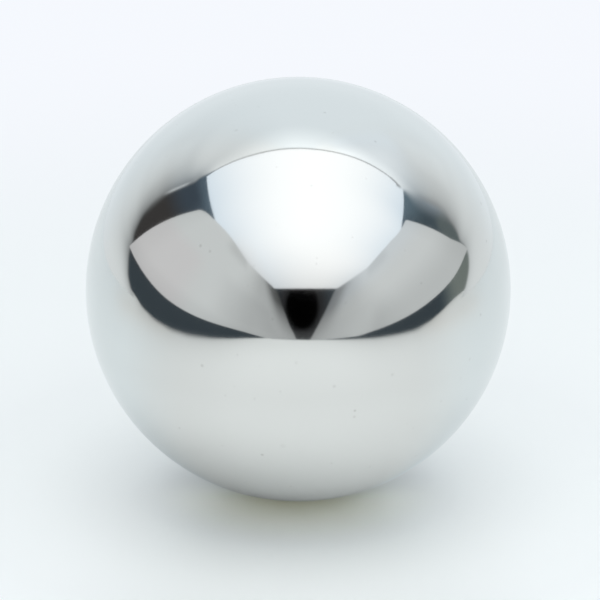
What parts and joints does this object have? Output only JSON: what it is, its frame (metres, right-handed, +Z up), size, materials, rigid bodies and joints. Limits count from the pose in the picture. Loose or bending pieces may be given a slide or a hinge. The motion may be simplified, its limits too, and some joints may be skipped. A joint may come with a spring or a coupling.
{
  "type": "steel ball",
  "caption": "Solid polished steel ball that rolls in a race or sits in a cup, ring or groove, as a bearing, valve, gauging or desk ball.",
  "frame": {"origin": "centre of the ball", "axes": "+Z up, away from what carries the ball; the ball is the same about every axis"},
  "size_m": [0.0508, 0.0508, 0.0508],
  "materials": {
    "polished_steel": "polished"
  },
  "bodies": {
    "root": {"ball": "polished_steel"}
  },
  "joints": []
}
